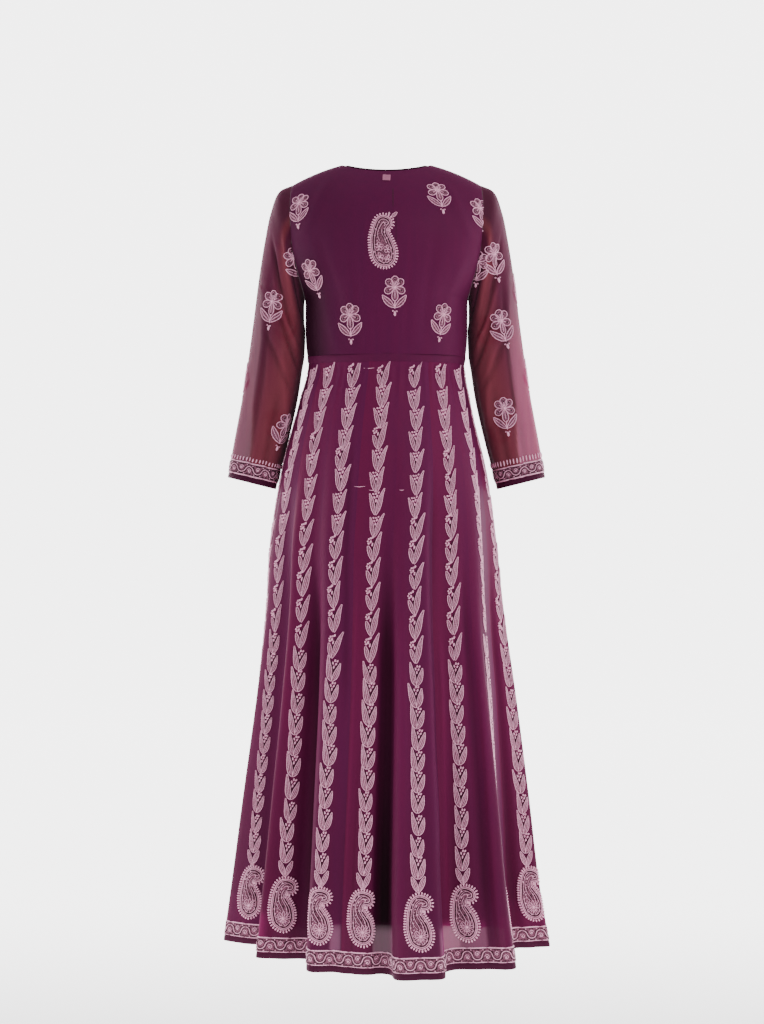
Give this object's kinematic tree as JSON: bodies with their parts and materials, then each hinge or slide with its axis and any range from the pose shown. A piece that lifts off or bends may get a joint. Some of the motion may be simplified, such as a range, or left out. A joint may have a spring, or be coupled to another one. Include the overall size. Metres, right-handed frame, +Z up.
{
  "type": "anarkali gown",
  "caption": "Long sheer anarkali gown in wine georgette, worked with pale garlands, paisleys and sprigs, in its worn form.",
  "frame": {"origin": "midway between the two high shoulder points of the neck, where the wearer's shoulders hold the gown", "axes": "+Z up, the gown's length; the front faces -Y and the back +Y; +X is the wearer's left"},
  "size_m": [0.5628, 0.534, 1.3538],
  "materials": {
    "lined_georgette": "georgette on an opaque lining, deep wine, matt",
    "sheer_georgette": "sheer crinkled georgette, wine",
    "sleeve_georgette": "sheer crinkled georgette, wine, one layer",
    "lining_crepe": "opaque crepe, dark wine, softly glossy",
    "turning": "two layers of georgette, dark wine",
    "binding": "narrow bias binding, near black wine",
    "label_satin": "plain satin, dusty rose"
  },
  "bodies": {
    "root": {"yoke_back": "lined_georgette", "yoke_front": "lined_georgette", "waist_strip_back": "lined_georgette", "waist_strip_front": "lined_georgette", "neck_binding": "binding", "neck_label": "label_satin", "kali_01": "sheer_georgette", "kali_02": "sheer_georgette", "kali_03": "sheer_georgette", "kali_04": "sheer_georgette", "kali_05": "sheer_georgette", "kali_06": "sheer_georgette", "kali_07": "sheer_georgette", "kali_08": "sheer_georgette", "kali_09": "sheer_georgette", "kali_10": "sheer_georgette", "kali_11": "sheer_georgette", "kali_12": "sheer_georgette", "kali_13": "sheer_georgette", "kali_14": "sheer_georgette", "kali_15": "sheer_georgette", "kali_16": "sheer_georgette", "hem_turning_1": "turning", "hem_turning_2": "turning", "hem_turning_3": "turning", "hem_turning_4": "turning", "lining_back": "lining_crepe", "lining_front": "lining_crepe", "sleeve_left": "sleeve_georgette", "sleeve_right": "sleeve_georgette", "cuff_turning_left": "turning", "cuff_turning_right": "turning"}
  },
  "joints": []
}
